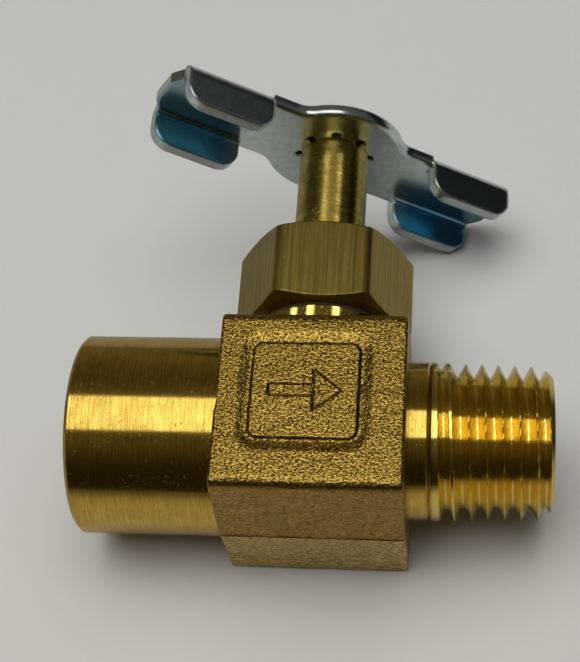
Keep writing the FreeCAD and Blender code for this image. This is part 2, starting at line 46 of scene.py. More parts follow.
BODY_HALF = 8.85
BODY_LEFT = 7.9
BODY_RIGHT = 8.15
PARTING_LOW = 9.4
PARTING_HIGH = 9.2
FORGING_DRAFT = math.radians(7.0)
FORGING_ROUND = 1.1
REAR_DRAFT = math.radians(1.5)
REAR_ROUND = 0.6
END_ROUND = 0.28
FLASH = 0.1
FLASH_PLACE = 0.02
FLASH_WIDTH = 0.07

PAD_WIDTH = 9.1
PAD_HEIGHT = 8.8
PAD_SHIFT = (-0.35, 0.55)
PAD_CORNER = 0.85
MOAT_WIDTH = 1.3
MOAT_FOOT = 0.15
MOAT_DEPTH = 0.25
EMBLEM_WALL = 0.12
EMBLEM_FADE = 0.2
ARROW_LENGTH = 6.2
ARROW_HEAD = 2.4
ARROW_SPREAD = 0.8
ARROW_HALF = 0.55
ARROW_CORNER = 0.2

THREAD_PITCH = 1.4111
THREAD_DEPTH = 1.129
TAPER = math.tan(math.radians(1.7899))
MALE_CREST = 6.628
FEMALE_CREST = 5.679
MALE_LEAD = 1.26
FEMALE_LEAD = 0.75
RUNOUT = math.tan(math.radians(32.0))
THREAD_TURNS = 7
ROOT_HALF = 0.085
CREST_HALF = 0.027

BARREL_RADIUS = 8.8
BARREL_END = 20.68
BARREL_CHAMFER = 0.32
MOUTH_RADIUS = 7.0
MOUTH_EASE = 0.03
MOUTH_FLAT = 0.1
TAP_DEPTH = 10.9
DRILL_RADIUS = 5.28
DRILL_DEPTH = 13.1
DRILL_POINT = math.tan(math.radians(31.0))

MALE_END = 20.5
SHANK_END = 10.1
SHANK_RADIUS = 6.96
SHANK_NICK = 0.14
SHANK_STEP = 0.12
MALE_CHAMFER = 0.95
MALE_NOSE = 5.85
NOSE_STEP = 0.02
MALE_BORE = 3.6
MALE_BORE_END = 7.0
BORE_MOUTH = 0.5

PASSAGE_RADIUS = 1.7
HIGH_PASSAGE_Y = 2.5
HIGH_PASSAGE_ENDS = (-8.5, -4.1)
LOW_PASSAGE_Y = -3.1
LOW_PASSAGE_ENDS = (8.5, 3.0)

NECK_RADIUS = 6.3
NECK_TOP = 10.2
NECK_ROOT = 1.2
NECK_CHAMFER = 0.15
SOCKET_RADIUS = 5.5
SOCKET_DEPTH = 2.5

FLANGE_RIM = 27.2
HANDLE_TURN = math.radians(34.2)
# With the turn, this shift in metres brings a place in the frame to the handle's own axes.
HANDLE_SHIFT = (
    math.sin(HANDLE_TURN) * BODY_HALF * MM,
    0.0,
    -math.cos(HANDLE_TURN) * BODY_HALF * MM,
)

# ---- unevenness of the forging: layers of noise, each with its size, its seed and its height ------------

LUMPS = ((2.6, 11, 0.035), (0.9, 12, 0.018))
GRAIN = ((0.28, 13, 0.016), (0.16, 14, 0.008))
FLASH_WAVES = ((0.7, 15, 0.02),)
END_DENTS = ((0.3, 16, 0.012),)
# The sink keeps the highest lumps inside the CAD box.
SKIN_SINK = 0.06
SIDE_GRAIN = 0.25
END_GRAIN = 0.35
FACING_FRONT = (0.55, 0.95)
NOISE_VALUES = 4096

# ---- fineness of the meshes: greatest spacing of points in millimetres, and counts ----------------------

SKIN_SPACING = 0.1
PLAIN_SPACING = 0.6
SHANK_SPACING = 0.1
BORE_SPACING = 0.15
TAPPED_SPACING = 0.05
THREAD_SPACING = 0.04
PASSAGE_SPACING = 0.3
NECK_SPACING = 0.25
BARREL_SEGMENTS = 240
MALE_SEGMENTS = 256
NECK_SEGMENTS = 160
PASSAGE_SEGMENTS = 48
ROUND_STEPS = 8
END_STEPS = 6
CAP_RINGS = 14
BLOCK_CREASE = math.radians(50.0)
THREAD_CREASE = math.radians(30.0)
PLAIN_CREASE = math.radians(35.0)

# How far pieces run into each other, where a drill point stops, and how far a passage's opening may reach.
PIECE_OVERLAP = 0.5
CAP_OVERLAP = 0.3
POINT_RADIUS = 0.02
POINT_SHORT = 0.01
BORE_MARGIN = 0.01
DRILLED_REACH = 0.2
BORE_REACH = 1.5


# ---- mesh building --------------------------------------------------------------------------------------


def link_mesh(name, points, faces, material):
    """A smooth mesh object in the scene, from points in metres."""
    mesh = bpy.data.meshes.new(name)
    mesh.from_pydata(np.asarray(points).tolist(), [], np.asarray(faces).tolist())
    mesh.validate()
    mesh.shade_smooth()
    mesh.materials.append(material)
    thing = bpy.data.objects.new(name, mesh)
    bpy.context.scene.collection.objects.link(thing)
    return thing


def build_piece(name, points, faces, material, crease=PLAIN_CREASE, grain=None):
    """A piece from points in millimetres about the axes' crossing, sharp-edged above the crease angle."""
    piece = link_mesh(name, np.asarray(points) * MM + np.array([0.0, 0.0, BODY_HALF * MM]), faces, material)
    piece.data.set_sharp_from_angle(angle=crease)
    if grain is not None:
        attribute = piece.data.attributes.new("grain", "FLOAT", "POINT")
        attribute.data.foreach_set("value", np.asarray(grain, np.float32).ravel())
    return piece


def grid_faces(rows, columns, start=0):
    """Quads of a grid of rows by columns points whose columns close on themselves."""
    r, c = np.meshgrid(np.arange(rows - 1), np.arange(columns), indexing="ij")
    following = (c + 1) % columns
    quads = [r * columns + c, r * columns + following, (r + 1) * columns + following, (r + 1) * columns + c]
    return start + np.stack(quads, -1).reshape(-1, 4)


def fine_steps(places, spacing):
    """The polyline through places, with points added so that none are further apart than spacing."""
    out = [places[0]]
    for a, b in zip(places[:-1], places[1:]):
        a, b = np.asarray(a, float), np.asarray(b, float)
        count = max(1, int(math.ceil(np.linalg.norm(b - a) / spacing)))
        out += [a + (b - a) * k / count for k in range(1, count + 1)]
    return np.array(out, float)


def all_round(values, segments):
    """A row of equal values round the axis for each of the values along it."""
    return np.repeat(values[:, None], segments, 1)


def turned_points(places, radii, along):
    """Points of a turned grid, from places along the axis and a row of radii round it for each place."""
    segments = radii.shape[1]
    angle = np.arange(segments) * 2 * math.pi / segments
    place = all_round(places, segments)
    if along == "x":
        grid = [place, radii * np.cos(angle), radii * np.sin(angle)]
    else:
        grid = [radii * np.sin(angle), place, radii * np.cos(angle)]
    return np.stack(grid, -1).reshape(-1, 3)


def male_crest(x):
    """Radius of the male thread's taper at x."""
    return MALE_CREST + (MALE_END - x) * TAPER


def female_crest(x):
    """Radius of the female thread's taper at x."""
    return FEMALE_CREST - (x + BARREL_END) * TAPER


def thread_cut(x, angle, start, first_angle, step, crest, side=1, last=None):
    """Radius of a taper with a V thread cut into it, at each x and angle.

    start is the first groove's middle at first_angle, and step the grooves' spacing with its sign along X.
    crest(x) is the uncut taper. side is 1 for an outside thread and -1 for an inside one, whose grooves go
    outwards. Before last, if it is given, the grooves grow shallow as the cutter runs out.
    """
    flank = THREAD_DEPTH / (THREAD_PITCH / 2 - ROOT_HALF - CREST_HALF)
    deepest = np.full(np.broadcast(x, angle).shape, np.inf)
    for turn in range(-1, THREAD_TURNS + 2):
        middle = start + THREAD_PITCH * (angle - first_angle) / (2 * math.pi) + step * turn
        floor = -THREAD_DEPTH * np.ones_like(middle)
        if last is not None:
            floor = floor + np.maximum(0.0, last - middle) * (RUNOUT - TAPER)
        rise = np.maximum(0.0, np.abs(x - middle) - ROOT_HALF) * flank
        deepest = np.minimum(deepest, floor + rise + side * (crest(middle) - crest(x)))
    return crest(x) + side * np.minimum(deepest, 0.0)


def open_passage(points, faces, y, bore_radius, low_x, high_x):
    """Leaves out the faces of a bore, between low_x and high_x, where the passage at y opens into it."""
    middles = points[faces].mean(1)
    in_span = (middles[:, 0] > low_x) & (middles[:, 0] < high_x)
    in_bore = np.hypot(middles[:, 1], middles[:, 2]) < bore_radius
    in_passage = np.hypot(middles[:, 1] - y, middles[:, 2]) < PASSAGE_RADIUS
    return faces[~(in_span & in_bore & in_passage)]


def value_noise(points, size, seed):
    """Smooth random values from -1 to 1 at points, on a lattice of that size in millimetres."""
    mixers = (73856093, 19349663, 83492791)
    table = np.random.default_rng(seed).uniform(-1.0, 1.0, NOISE_VALUES)
    cell = np.asarray(points) / size
    base = np.floor(cell).astype(int)
    part = cell - base
    part = part * part * (3 - 2 * part)
    value = np.zeros(len(cell))
    for dx in (0, 1):
        for dy in (0, 1):
            for dz in (0, 1):
                key = np.zeros(len(cell), int)
                share = np.ones(len(cell))
                for axis, step in enumerate((dx, dy, dz)):
                    key = key ^ (base[:, axis] + step) * mixers[axis]
                    share = share * (part[:, axis] if step else 1 - part[:, axis])
                value += table[key % NOISE_VALUES] * share
    return value


def uneven(points, layers):
    """The heights of all the layers of noise together."""
    return sum(value_noise(points, size, seed) * height for size, seed, height in layers)


def smooth_step(low, high, value):
    """From 0 at low to 1 at high, with a soft start and end."""
    t = np.clip((value - low) / (high - low), 0, 1)
    return t * t * (3 - 2 * t)


def box_distance(x, y, half_x, half_y, corner):
    """Signed distance from a rounded rectangle about the origin: negative inside."""
    qx = np.abs(x) - half_x + corner
    qy = np.abs(y) - half_y + corner
    outside = np.hypot(np.maximum(qx, 0), np.maximum(qy, 0))
    return outside + np.minimum(np.maximum(qx, qy), 0) - corner


# ---- pieces of the body ---------------------------------------------------------------------------------


def rounded_corner(before, here, after, radius):
    """Points of the arc that rounds the corner at here, between straight lines from before and to after."""
    to_before = (before - here) / np.linalg.norm(before - here)
    to_after = (after - here) / np.linalg.norm(after - here)
    half_angle = math.acos(np.clip(to_before @ to_after, -1, 1)) / 2
    halfway = (to_before + to_after) / np.linalg.norm(to_before + to_after)
    centre = here + halfway * radius / math.sin(half_angle)
    first = here + to_before * radius / math.tan(half_angle) - centre
    last = here + to_after * radius / math.tan(half_angle) - centre
    sweep = np.sign(first[0] * last[1] - first[1] * last[0]) * (math.pi - 2 * half_angle)
    arc = []
    for k in range(ROUND_STEPS + 1):
        turn = sweep * k / ROUND_STEPS
        arc.append(centre + np.array([
            first[0] * math.cos(turn) - first[1] * math.sin(turn),
            first[0] * math.sin(turn) + first[1] * math.cos(turn),
        ]))
    return arc


def block_outline():
    """The forging's closed section in Y and Z: two drafted halves with rounded long corners."""
    front_lean = BODY_HALF * math.tan(FORGING_DRAFT)
    rear_lean = BODY_HALF * math.tan(REAR_DRAFT)
    low, high = PARTING_LOW - FLASH, PARTING_HIGH - FLASH
    corners = [
        (high, 0.0, 0.0),
        (high - front_lean, BODY_HALF, FORGING_ROUND),
        (-(low - front_lean), BODY_HALF, FORGING_ROUND),
        (-low, 0.0, 0.0),
        (-(low - rear_lean), -BODY_HALF, REAR_ROUND),
        (high - rear_lean, -BODY_HALF, REAR_ROUND),
    ]
    places = []
    for i, (y, z, radius) in enumerate(corners):
        here = np.array([y, z])
        if radius == 0.0:
            places.append(here)
        else:
            before = np.array(corners[i - 1][:2])
            after = np.array(corners[(i + 1) % len(corners)][:2])
            places += rounded_corner(before, here, after, radius)
    places.append(places[0])
    return fine_steps(places, SKIN_SPACING)[:-1]


def emblem_depth(x, y):
    """How far the front face sinks at (x, y): a soft moat round a plain pad, which has a sunk flow arrow."""
    px, py = x - PAD_SHIFT[0], y - PAD_SHIFT[1]
    edge = box_distance(px, py, PAD_WIDTH / 2, PAD_HEIGHT / 2, PAD_CORNER)
    moat = smooth_step(-EMBLEM_WALL, EMBLEM_WALL, edge) * (1 - smooth_step(MOAT_FOOT, MOAT_WIDTH, edge))
    tip = ARROW_LENGTH / 2
    neck = tip - ARROW_HEAD
    shaft = box_distance(px - (neck - tip) / 2, py, (neck + tip) / 2, ARROW_HALF, ARROW_CORNER)
    half_height = ARROW_HEAD * ARROW_SPREAD
    barb = math.hypot(half_height, ARROW_HEAD)
    head = np.maximum((np.abs(py) * ARROW_HEAD + (px - tip) * half_height) / barb, neck - px)
    arrow = 1 - smooth_step(-EMBLEM_WALL, EMBLEM_WALL, np.minimum(shaft, head))
    return MOAT_DEPTH * np.maximum(moat, arrow)


def block_stations():
    """Places along X of the forging's sections, close together where its ends are rounded."""
    rounding = END_ROUND * (1 - np.cos(np.linspace(0, math.pi / 2, END_STEPS)))
    count = int((BODY_LEFT + BODY_RIGHT) / SKIN_SPACING)
    middle = np.linspace(-BODY_LEFT + END_ROUND, BODY_RIGHT - END_ROUND, count)[1:-1]
    return np.concatenate([-BODY_LEFT + rounding, middle, BODY_RIGHT - rounding[::-1]])


def make_forged_block(material):
    """The forging's skin: a dense shell with softened ends, lumps, the emblem and a trace of flash."""
    outline = block_outline()
    ahead = np.roll(outline, -1, 0) - np.roll(outline, 1, 0)
    outward = np.stack([ahead[:, 1], -ahead[:, 0]], -1)
    outward /= np.linalg.norm(outward, axis=1)[:, None]
    if (outward * outline).sum() < 0:
        outward = -outward
    stations = block_stations()
    to_end = np.minimum(stations + BODY_LEFT, BODY_RIGHT - stations)
    drop = END_ROUND - np.sqrt(np.maximum(0, END_ROUND**2 - np.maximum(0, END_ROUND - to_end) ** 2))
    rows, columns = len(stations), len(outline)
    grid = np.zeros((rows, columns, 3))
    grid[..., 0] = stations[:, None]
    grid[..., 1:] = outline[None] - outward[None] * drop[:, None, None]
    skin = grid.reshape(-1, 3)
    normals = np.zeros_like(skin)
    normals[:, 1:] = np.tile(outward, (rows, 1))
    front = smooth_step(BODY_HALF - FORGING_ROUND, BODY_HALF - EMBLEM_FADE, skin[:, 2])
    facing = smooth_step(*FACING_FRONT, np.abs(normals[:, 2]))
    roughness = SIDE_GRAIN + (1 - SIDE_GRAIN) * facing
    flash = np.exp(-((skin[:, 2] - FLASH_PLACE) / FLASH_WIDTH) ** 2) * (FLASH + uneven(skin, FLASH_WAVES))
    lift = uneven(skin, LUMPS) - SKIN_SINK + uneven(skin, GRAIN) * roughness + flash
    skin += normals * lift[:, None]
    skin[:, 2] -= emblem_depth(skin[:, 0], skin[:, 1]) * front
    points, faces, grain = [skin], [grid_faces(rows, columns)[:, ::-1]], [roughness]
    ends = ((0, -BODY_LEFT, BARREL_RADIUS, 1), (rows - 1, BODY_RIGHT, SHANK_RADIUS, -1))
    for row, x, radius, inward in ends:
        rim = skin.reshape(rows, columns, 3)[row]
        angle = np.arctan2(rim[:, 2], rim[:, 1])
        reach = radius - CAP_OVERLAP
        hole = np.stack([np.full(columns, x), reach * np.cos(angle), reach * np.sin(angle)], -1)
        share = np.linspace(0, 1, CAP_RINGS)[:, None, None]
        cap = (rim[None] * (1 - share) + hole[None] * share).reshape(-1, 3)
        cap[columns:, 0] += inward * uneven(cap, END_DENTS)[columns:]
        quads = grid_faces(CAP_RINGS, columns, sum(len(p) for p in points))
        faces.append(quads if inward > 0 else quads[:, ::-1])
        points.append(cap)
        grain.append(np.full(len(cap), END_GRAIN))
    points, faces, grain = (np.concatenate(part) for part in (points, faces, grain))
    return build_piece("forged_block", points, faces, material, BLOCK_CREASE, grain)


def make_female_end(material):
    """The round barrel with its chamfered lip, tapped taper and drilled bore."""
    mouth_edge = (-BARREL_END + MOUTH_EASE, MOUTH_RADIUS)
    tap_start = -(BARREL_END - (MOUTH_RADIUS - FEMALE_CREST))
    tap_end = -(BARREL_END - TAP_DEPTH)
    drilled_end = -(BARREL_END - DRILL_DEPTH)
    outside = fine_steps([
        (-BODY_LEFT + PIECE_OVERLAP, BARREL_RADIUS),
        (-(BARREL_END - BARREL_CHAMFER), BARREL_RADIUS),
        (-BARREL_END, BARREL_RADIUS - BARREL_CHAMFER),
        (-BARREL_END, MOUTH_RADIUS + MOUTH_FLAT),
        mouth_edge,
    ], PLAIN_SPACING)
    mouth = fine_steps([mouth_edge, (tap_start, female_crest(tap_start))], TAPPED_SPACING)[1:]
    taper = [(tap_start, female_crest(tap_start)), (tap_end, female_crest(tap_end))]
    tapped = fine_steps(taper, TAPPED_SPACING)[1:]
    drilled = fine_steps([
        (tap_end, DRILL_RADIUS),
        (drilled_end, DRILL_RADIUS),
        (drilled_end + DRILL_RADIUS * DRILL_POINT - POINT_SHORT, POINT_RADIUS),
    ], BORE_SPACING)
    profile = np.concatenate([outside, mouth, tapped, drilled])
    angle = np.arange(BARREL_SEGMENTS)[None] * 2 * math.pi / BARREL_SEGMENTS
    start = -(BARREL_END + FEMALE_LEAD)
    cut = thread_cut(profile[:, :1], angle, start, math.pi / 2, THREAD_PITCH, female_crest, side=-1)
    radii = all_round(profile[:, 1], BARREL_SEGMENTS)
    threaded = slice(len(outside), len(outside) + len(mouth) + len(tapped))
    radii[threaded] = np.maximum(radii[threaded], cut[threaded])
    points = turned_points(profile[:, 0], radii, "x")
    faces = grid_faces(len(profile), BARREL_SEGMENTS)
    faces = open_passage(points, faces, HIGH_PASSAGE_Y, DRILL_RADIUS, drilled_end - DRILLED_REACH, 0.0)
    return build_piece("female_end", points, faces, material, THREAD_CREASE)


def make_male_end(material):
    """The shank, the pipe thread that runs out beside it, and the flow bore."""
    thread_start = SHANK_END + SHANK_STEP
    chamfer_start = MALE_END - MALE_CHAMFER
    shank_edge = (SHANK_END, SHANK_RADIUS - SHANK_NICK / 2)
    shank = fine_steps([
        (BODY_RIGHT - PIECE_OVERLAP, SHANK_RADIUS),
        (SHANK_END - SHANK_NICK * 2, SHANK_RADIUS),
        (SHANK_END - SHANK_NICK, SHANK_RADIUS - SHANK_NICK),
        shank_edge,
    ], SHANK_SPACING)
    taper = fine_steps([
        shank_edge,
        (thread_start, male_crest(thread_start)),
        (chamfer_start, male_crest(chamfer_start)),
        (MALE_END, MALE_NOSE),
    ], THREAD_SPACING)[1:]
    bore = fine_steps([
        (MALE_END, MALE_NOSE - NOSE_STEP),
        (MALE_END, MALE_BORE + BORE_MOUTH),
        (MALE_END - BORE_MOUTH, MALE_BORE),
        (MALE_BORE_END, MALE_BORE),
        (MALE_BORE_END - MALE_BORE * DRILL_POINT + POINT_SHORT, POINT_RADIUS),
    ], BORE_SPACING)
    profile = np.concatenate([shank, taper, bore])
    # The grooves are counted from the back of the thread, so the angles run from -90 to 270 degrees.
    angle = np.arange(MALE_SEGMENTS) * 2 * math.pi / MALE_SEGMENTS
    angle = np.where(angle > 1.5 * math.pi - 1e-9, angle - 2 * math.pi, angle)[None]
    start = MALE_END + MALE_LEAD
    last = start - THREAD_PITCH * THREAD_TURNS
    cut = thread_cut(profile[:, :1], angle, start, -math.pi / 2, -THREAD_PITCH, male_crest, last=last)
    radii = all_round(profile[:, 1], MALE_SEGMENTS)
    threaded = slice(len(shank), len(shank) + len(taper))
    radii[threaded] = np.minimum(radii[threaded], cut[threaded])
    points = turned_points(profile[:, 0], radii, "x")
    faces = grid_faces(len(profile), MALE_SEGMENTS)[:, ::-1]
    bore_edge = MALE_BORE_END + BORE_REACH
    faces = open_passage(points, faces, LOW_PASSAGE_Y, MALE_BORE + BORE_MARGIN, 0.0, bore_edge)
    return build_piece("male_end", points, faces, material, THREAD_CREASE)


def make_passage(name, material, ends, y):
    """A drilled passage's wall with its closed far end, seen only down the port's bore."""
    start, end = ends
    profile = fine_steps([
        (start, PASSAGE_RADIUS),
        (end, PASSAGE_RADIUS),
        (end, POINT_RADIUS),
    ], PASSAGE_SPACING)
    points = turned_points(profile[:, 0], all_round(profile[:, 1], PASSAGE_SEGMENTS), "x")
    points[:, 1] += y
    return build_piece(name, points, grid_faces(len(profile), PASSAGE_SEGMENTS), material)


def make_neck(material):
    """The turned neck under the hexagon, with the rim of its threaded socket."""
    profile = fine_steps([
        (BODY_HALF - NECK_ROOT, NECK_RADIUS),
        (NECK_TOP - NECK_CHAMFER, NECK_RADIUS),
        (NECK_TOP, NECK_RADIUS - NECK_CHAMFER),
        (NECK_TOP, SOCKET_RADIUS),
        (NECK_TOP - SOCKET_DEPTH, SOCKET_RADIUS),
    ], NECK_SPACING)
    points = turned_points(profile[:, 0], all_round(profile[:, 1], NECK_SEGMENTS), "y")
    return build_piece("bonnet_neck", points, grid_faces(len(profile), NECK_SEGMENTS)[:, ::-1], material)


# ---- node trees -----------------------------------------------------------------------------------------


class Nodes:
    """A node tree with short calls to add to it; a value is a number, a colour or a node's output."""

    def __init__(self, tree):
        self.tree = tree

    def feed(self, socket, value):
        """Links an output to the input socket, or sets the socket's own value."""
        if isinstance(value, bpy.types.NodeSocket):
            self.tree.links.new(value, socket)
        elif socket.type == "RGBA":
            socket.default_value = (*value[:3], 1.0)
        else:
            socket.default_value = value

    def set(self, node, values):
        """Feeds a node's inputs, given by their names with _ for a space."""
        for key, value in values.items():
            self.feed(node.inputs[key.replace("_", " ")], value)

    def add(self, kind, props=None, **values):
        """A new node with those properties and inputs."""
        node = self.tree.nodes.new(kind)
        for key, value in (props or {}).items():
            setattr(node, key, value)
        self.set(node, values)
        return node

    def spread(self, value, low, high, to_low=0.0, to_high=1.0):
        """Value mapped from low and high to to_low and to_high, and kept between them."""
        ends = {"From_Min": low, "From_Max": high, "To_Min": to_low, "To_Max": to_high}
        return self.add("ShaderNodeMapRange", {"clamp": True}, Value=value, **ends).outputs[0]

    def calculate(self, operation, a, b=0.0):
        node = self.add("ShaderNodeMath", {"operation": operation})
        self.feed(node.inputs[0], a)
        self.feed(node.inputs[1], b)
        return node.outputs[0]

    def plus(self, a, b):
        return self.calculate("ADD", a, b)

    def minus(self, a, b):
        return self.calculate("SUBTRACT", a, b)

    def times(self, a, b):
        return self.calculate("MULTIPLY", a, b)

    def unsigned(self, a):
        return self.calculate("ABSOLUTE", a)

    def mix(self, share, a, b, kind="MIX"):
        """Colour a with that share of colour b laid over it."""
        node = self.add("ShaderNodeMix", {"data_type": "RGBA", "blend_type": kind})
        share_input, first_colour, second_colour, colour_output = 0, 6, 7, 2
        self.feed(node.inputs[share_input], share)
        self.feed(node.inputs[first_colour], a)
        self.feed(node.inputs[second_colour], b)
        return node.outputs[colour_output]


class Material(Nodes):
    """A new material's nodes round its Principled shader; sizes are in millimetres."""

    def __init__(self, name, **shader):
        self.material = bpy.data.materials.new(name)
        self.material.use_nodes = True
        super().__init__(self.material.node_tree)
        self.shader = self.tree.nodes["Principled BSDF"]
        self.place = self.add("ShaderNodeTexCoord").outputs["Object"]
        self.set(self.shader, shader)

    def axis(self, name):
        """The place along that axis, in metres."""
        return self.add("ShaderNodeSeparateXYZ", Vector=self.place).outputs[name]

    def noise(self, size, detail=2.0, roughness=0.5, turn=(0, 0, 0)):
        """Noise from 0 to 1 with cells of those sizes along X, Y and Z, turned by those angles."""
        scale = tuple(1 / (s * MM) for s in size)
        where = self.add("ShaderNodeMapping", Vector=self.place, Scale=scale, Rotation=turn).outputs[0]
        noise = self.add("ShaderNodeTexNoise", Vector=where, Detail=detail, Roughness=roughness, Scale=1.0)
        return noise.outputs[0]

    def band(self, place, ends, to_low=0.0, to_high=1.0):
        """A place in metres mapped from the band's ends in millimetres to to_low and to_high."""
        return self.spread(place, ends[0] * MM, ends[1] * MM, to_low, to_high)

    def softened(self, radius):
        """The normal with the edges rounded by that radius."""
        return self.add("ShaderNodeBevel", {"samples": 6}, Radius=radius * MM).outputs[0]

    def bump(self, height, depth, after=None):
        """A bump of that depth, laid over another one's normal if given."""
        node = self.add("ShaderNodeBump", Height=height, Distance=depth * MM, Strength=1.0)
        if after is not None:
            self.feed(node.inputs["Normal"], after)
        return node.outputs[0]

    def finish(self, **values):
        """The material, with those inputs of its shader fed."""
        self.set(self.shader, values)
        return self.material


# ---- materials ------------------------------------------------------------------------------------------

GRAIN_TOPS = (0.60, 0.41, 0.085), (0.68, 0.47, 0.11)
# Painted shade: the colour of the grain's pits.
GRAIN_PIT_SHADE = (0.17, 0.10, 0.018)
FRONT_SKIN = (0.46, 0.27, 0.05), (0.58, 0.36, 0.07)
# Painted light: the rear half's skin is painted much lighter than the front half's.
LIT_REAR_SKIN = (0.86, 0.64, 0.24), (0.96, 0.74, 0.29)
SKIN_FIBRE = (0.13, 0.075, 0.014)
SKIN_SPECK = (0.80, 0.64, 0.30)
SEAM_DARK = (0.05, 0.028, 0.006)
SEAM_Z = BODY_HALF - 0.12
SEAM_EDGE = (0.13, 0.24)
SEAM_WANDER = 0.05


def forged_brass():
    """Grit-blasted forging: pitted grain in front and behind with painted shade in its pits, fibrous skin on
    the sides, painted light on the rear half's skin and a dark seam.
    """
    g = Material("forged_brass", Metallic=1.0)
    grain = g.add("ShaderNodeAttribute", {"attribute_name": "grain"}).outputs["Fac"]
    coarse = g.noise((0.24, 0.19, 0.21), 2.0, 0.6, turn=(0.0, 0.0, 0.35))
    fine = g.noise((0.11, 0.10, 0.10), 1.0, 0.5)
    fibre = g.noise((0.40, 0.18, 0.18), 3.0, 0.65, turn=(0.0, 0.3, 0.0))
    specks = g.noise((0.2, 0.2, 0.2), 2.0, 0.6)
    patches = g.noise((3.0, 3.0, 3.0), 2.0, 0.5)
    # Painted light: behind the parting line the skin takes the lighter rear colours.
    rear = g.band(g.axis("Z"), (BODY_HALF - 0.1, BODY_HALF + 0.1), 1.0, 0.0)
    skin = g.mix(rear, g.mix(patches, *FRONT_SKIN), g.mix(patches, *LIT_REAR_SKIN))
    skin = g.mix(g.spread(fibre, 0.36, 0.6, 0.85, 0.0), skin, SKIN_FIBRE)
    skin = g.mix(g.spread(specks, 0.58, 0.70, 0.0, 0.75), skin, SKIN_SPECK)
    wander = g.spread(patches, 0.3, 0.7, -SEAM_WANDER * MM, SEAM_WANDER * MM)
    from_seam = g.unsigned(g.minus(g.plus(g.axis("Z"), wander), SEAM_Z * MM))
    skin = g.mix(g.band(from_seam, SEAM_EDGE, 0.95, 0.0), skin, SEAM_DARK)
    # Painted shade: where the grain's bump sinks, its pits are painted dark brown.
    grained = g.mix(g.spread(coarse, 0.38, 0.58), GRAIN_PIT_SHADE, g.mix(patches, *GRAIN_TOPS))
    colour = g.mix(g.spread(grain, 0.3, 0.9), skin, grained)
    height = g.times(g.plus(coarse, g.times(fine, 0.3)), grain)
    height = g.plus(height, g.times(fibre, g.spread(grain, 0.3, 0.9, 0.5, 0.1)))
    rough = g.spread(fine, 0.3, 0.7, 0.12, 0.22)
    rough = g.plus(rough, g.spread(grain, 0.3, 1.0, 0.18, 0.0))
    rough = g.plus(rough, g.times(rear, g.spread(grain, 0.3, 0.6, 0.12, 0.0)))
    return g.finish(Base_Color=colour, Roughness=rough, Normal=g.bump(height, 0.075))


PIPE_BRASS = (0.95, 0.67, 0.15), (0.52, 0.34, 0.055)
NECK_BRASS = (0.92, 0.72, 0.20), (0.72, 0.50, 0.10)
STEM_BRASS = (0.80, 0.62, 0.16), (0.34, 0.24, 0.04)
THREAD_BRASS = (0.95, 0.765, 0.235), (0.85, 0.64, 0.155)
# Painted shade on the barrel's chamfer.
LIP_SHADE = (0.30, 0.20, 0.05)
THREAD_EDGE = (10.3, 10.4)
LIP_INNER = (-BARREL_END + 0.3, -BARREL_END + 0.34)
LIP_OUTER = (-BARREL_END + 0.01, -BARREL_END + 0.02)


def pipe_marks_and_shade(g, colour, stains):
    """Brighter brass where the male thread is cut, and painted shade on the barrel's chamfer."""
    threaded = g.band(g.axis("X"), THREAD_EDGE)
    colour = g.mix(threaded, colour, g.mix(stains, *THREAD_BRASS))
    # Painted shade: the chamfer at the barrel's mouth is painted dark brown.
    lip = g.times(g.band(g.axis("X"), LIP_INNER, 1.0, 0.0), g.band(g.axis("X"), LIP_OUTER))
    return g.mix(g.times(lip, 0.75), colour, LIP_SHADE)


def lathe_brass(name, along, colours, rough, depth, marks=None):
    """Turned brass: fine lines round the axis, deeper ones and small stains; marks adds local colour."""
    g = Material(name, Metallic=1.0, Anisotropic=0.85, Anisotropic_Rotation=0.25)
    fine_size = {"x": (0.06, 3.0, 3.0), "y": (3.0, 0.06, 3.0)}[along]
    band_size = {"x": (0.4, 12.0, 12.0), "y": (12.0, 0.4, 12.0)}[along]
    lines = g.noise(fine_size, 3.0, 0.7)
    bands = g.noise(band_size, 2.0, 0.5)
    stains = g.noise((1.6, 1.6, 1.6), 4.0, 0.65)
    specks = g.noise((0.16, 0.3, 0.3), 2.0, 0.6)
    turned = g.bump(g.plus(lines, g.times(bands, 0.6)), depth)
    normal = g.bump(g.spread(specks, 0.66, 0.74), 0.012, turned)
    share = g.plus(g.spread(stains, 0.35, 0.75, 0.0, 0.4), g.spread(lines, 0.36, 0.64, 0.0, 0.9))
    colour = g.mix(share, *colours)
    if marks is not None:
        colour = marks(g, colour, stains)
    roughness = g.spread(g.times(lines, stains), 0.1, 0.4, rough * 0.75, rough * 1.35)
    tangent = g.add("ShaderNodeTangent", {"direction_type": "RADIAL", "axis": along.upper()}).outputs[0]
    return g.finish(Base_Color=colour, Roughness=roughness, Normal=normal, Tangent=tangent)


BAR_FILM = (0.50, 0.37, 0.07), (0.37, 0.28, 0.055)
BAR_STREAK = (0.20, 0.14, 0.025)
BAR_NICK = (0.70, 0.58, 0.24)
BAR_LINE = (0.62, 0.50, 0.17)


